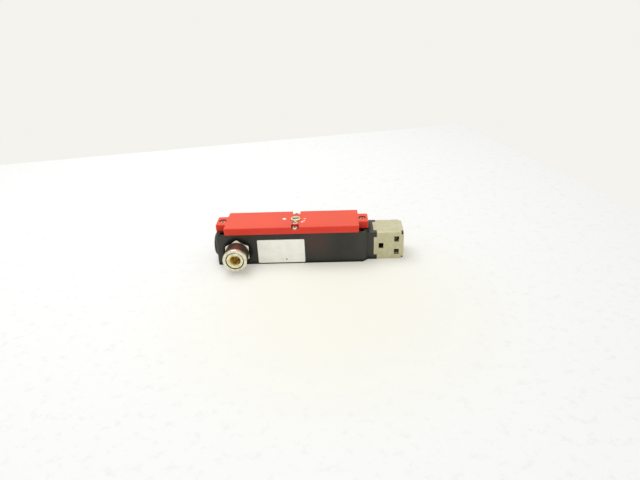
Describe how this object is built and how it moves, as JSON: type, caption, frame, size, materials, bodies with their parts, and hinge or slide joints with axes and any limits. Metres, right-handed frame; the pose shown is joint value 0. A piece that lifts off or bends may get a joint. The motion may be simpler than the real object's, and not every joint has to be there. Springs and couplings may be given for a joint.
{
  "type": "tongue interlock switch",
  "caption": "Long safety switch with a red screwed cover, a metal head with square openings for an actuator tongue, guard locking, a round side connector and a slotted release.",
  "frame": {"origin": "centre of the four mounting holes, on the flat mounting face", "axes": "+X along the switch towards the metal head, -Y towards the connector side, +Z out of the mounting face towards the red cover"},
  "size_m": [0.1923, 0.061, 0.041],
  "materials": {
    "black_diecast": "satin",
    "red_cover": "satin",
    "nickel_zinc": "satin",
    "nickel_plate": "polished",
    "zinc_screws": "satin",
    "black_screws": "satin",
    "black_plastic": "matte",
    "black_rubber": "matte",
    "label_film": "matte",
    "amber_plastic": "gloss",
    "gold_contacts": "polished",
    "steel": "satin",
    "bronze": "satin",
    "grey_plastic": "matte",
    "copper": "satin",
    "green_board": "satin",
    "wire_sleeve": "matte"
  },
  "bodies": {
    "housing": {"housing": "black_diecast", "cover": "red_cover", "cover_gasket": "black_rubber", "cover_screws": "zinc_screws", "release_lock_screw": "zinc_screws", "type_label": "label_film", "blind_plug": "black_plastic", "blind_plug_seal": "black_rubber", "connector_shell": "nickel_plate", "connector_seal": "black_rubber", "connector_sleeve": "nickel_plate", "connector_insert": "amber_plastic", "connector_pins": "gold_contacts", "connector_wires": "wire_sleeve", "head_shell": "nickel_zinc", "head_screws": "black_screws", "head_gasket": "black_rubber", "drum_axle": "steel", "plunger_bush": "bronze", "plunger_seal": "black_rubber", "plunger_spring": "steel", "lever_pin": "steel", "mechanism_frame": "steel", "frame_screws": "zinc_screws", "solenoid_yoke": "steel", "fixed_core": "steel", "bobbin": "black_plastic", "coil_winding": "copper", "armature_spring": "steel", "contact_block": "grey_plastic", "fixed_contacts": "gold_contacts", "monitor_block": "grey_plastic", "monitor_contacts": "gold_contacts", "wiring_board": "green_board", "board_header": "black_plastic", "board_screws": "zinc_screws", "coil_leads": "wire_sleeve", "wiring_harness": "wire_sleeve"},
    "drum": {"control_drum": "steel"},
    "plunger": {"plunger": "steel", "contact_bridges": "copper"},
    "armature": {"armature": "steel", "armature_link": "steel", "lock_slider": "steel", "slider_pin": "steel", "release_leaf_spring": "steel", "monitor_bridge": "copper"},
    "lock_lever": {"lock_lever": "steel"},
    "release": {"release_spindle": "nickel_plate", "release_o_ring": "black_rubber", "release_clip": "steel"}
  },
  "joints": [
    {"name": "drum_turn", "type": "hinge", "parent": "housing", "child": "drum", "pos_m": [0.097, 0, 0.015], "axis": [0, 0, 1], "range_deg": [0, 75]},
    {"name": "plunger_slide", "type": "slide", "parent": "housing", "child": "plunger", "axis": [-1, 0, 0], "range_m": [0, 0.005], "stiffness_N_per_m": 500, "springref_m": -0.003, "deforming": ["plunger_spring"]},
    {"name": "armature_slide", "type": "slide", "parent": "housing", "child": "armature", "axis": [-1, 0, 0], "range_m": [0, 0.0035], "stiffness_N_per_m": 400, "springref_m": -0.003, "deforming": ["armature_spring"]},
    {"name": "lever_turn", "type": "hinge", "parent": "housing", "child": "lock_lever", "pos_m": [0.0582, 0, 0.024], "axis": [0, -1, 0], "range_deg": [0, 24]},
    {"name": "release_turn", "type": "hinge", "parent": "housing", "child": "release", "pos_m": [0.0036, 0, 0.04], "axis": [0, 0, 1], "range_deg": [0, 180], "deforming": ["release_leaf_spring"]}
  ],
  "couplings": [
    {"joint": "drum_turn", "follows": "plunger_slide", "rad_per_m": 261.79},
    {"joint": "lever_turn", "follows": "armature_slide", "rad_per_m": 119.6}
  ]
}
